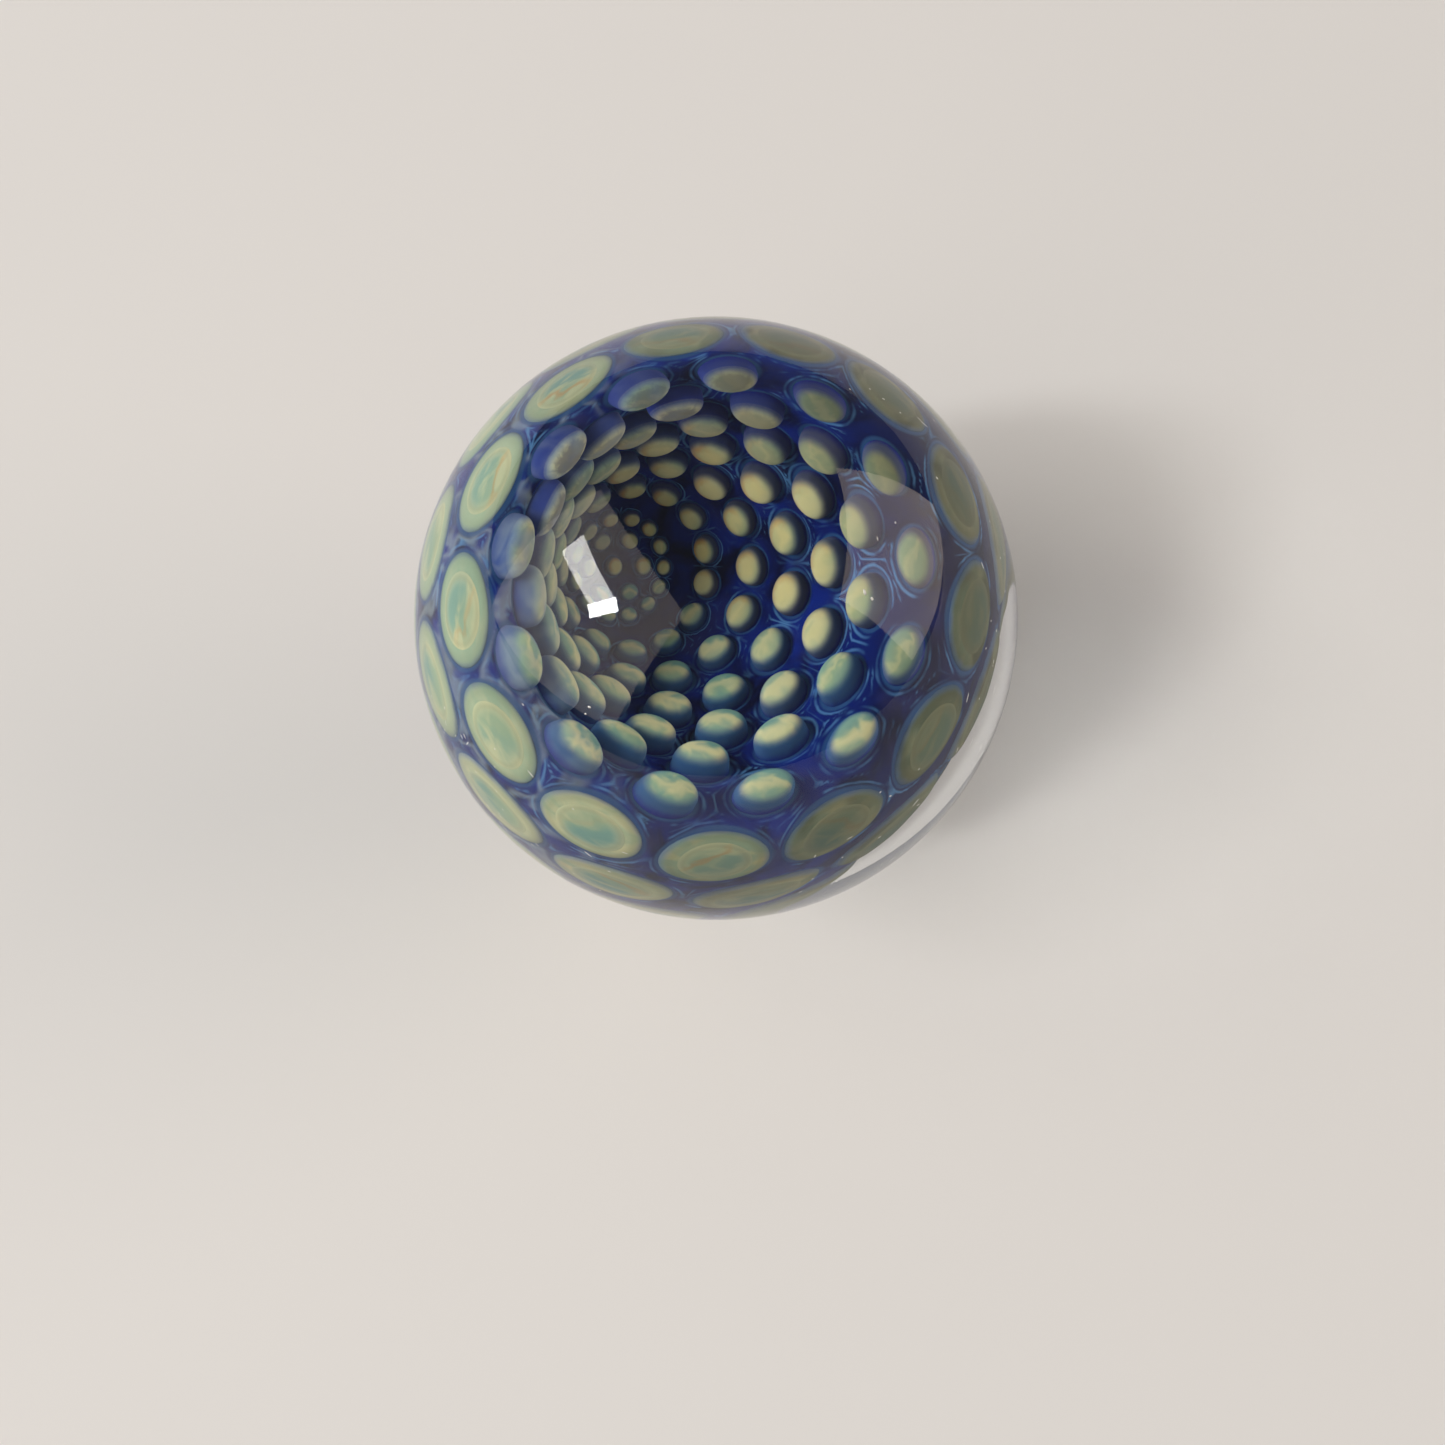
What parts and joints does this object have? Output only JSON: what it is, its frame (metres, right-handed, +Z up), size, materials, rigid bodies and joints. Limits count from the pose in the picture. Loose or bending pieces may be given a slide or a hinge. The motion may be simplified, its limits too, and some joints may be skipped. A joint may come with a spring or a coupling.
{
  "type": "glass marble",
  "caption": "Clear glass marble round a cobalt heart, hollowed into a deep cup set with staggered rows of cream and pale green opal dots.",
  "frame": {"origin": "centre of the ball", "axes": "+Z up as the marble lies; the cup inside opens up and toward -Y"},
  "size_m": [0.038, 0.038, 0.038],
  "materials": {
    "clear_glass": "clear, fire polished",
    "cobalt_glass": "deep cobalt, fused inside",
    "cream_opal_glass": "opaque cream opal, fused inside",
    "green_opal_glass": "opaque pale green opal, fused inside",
    "pale_opal_glass": "opaque cream and pale green opal, fused inside"
  },
  "bodies": {
    "root": {"clear_casing": "clear_glass", "cobalt_heart": "cobalt_glass", "back_dots_1": "cream_opal_glass", "back_cores_1": "green_opal_glass", "back_dots_2": "cream_opal_glass", "back_cores_2": "green_opal_glass", "back_dots_3": "cream_opal_glass", "back_cores_3": "green_opal_glass", "rim_dots": "cream_opal_glass", "rim_cores": "green_opal_glass", "lip_dots": "pale_opal_glass", "cup_dots_1": "pale_opal_glass", "cup_dots_2": "pale_opal_glass", "cup_dots_3": "pale_opal_glass", "cup_dots_4": "pale_opal_glass", "cup_dots_5": "pale_opal_glass", "floor_dots": "pale_opal_glass"}
  },
  "joints": []
}
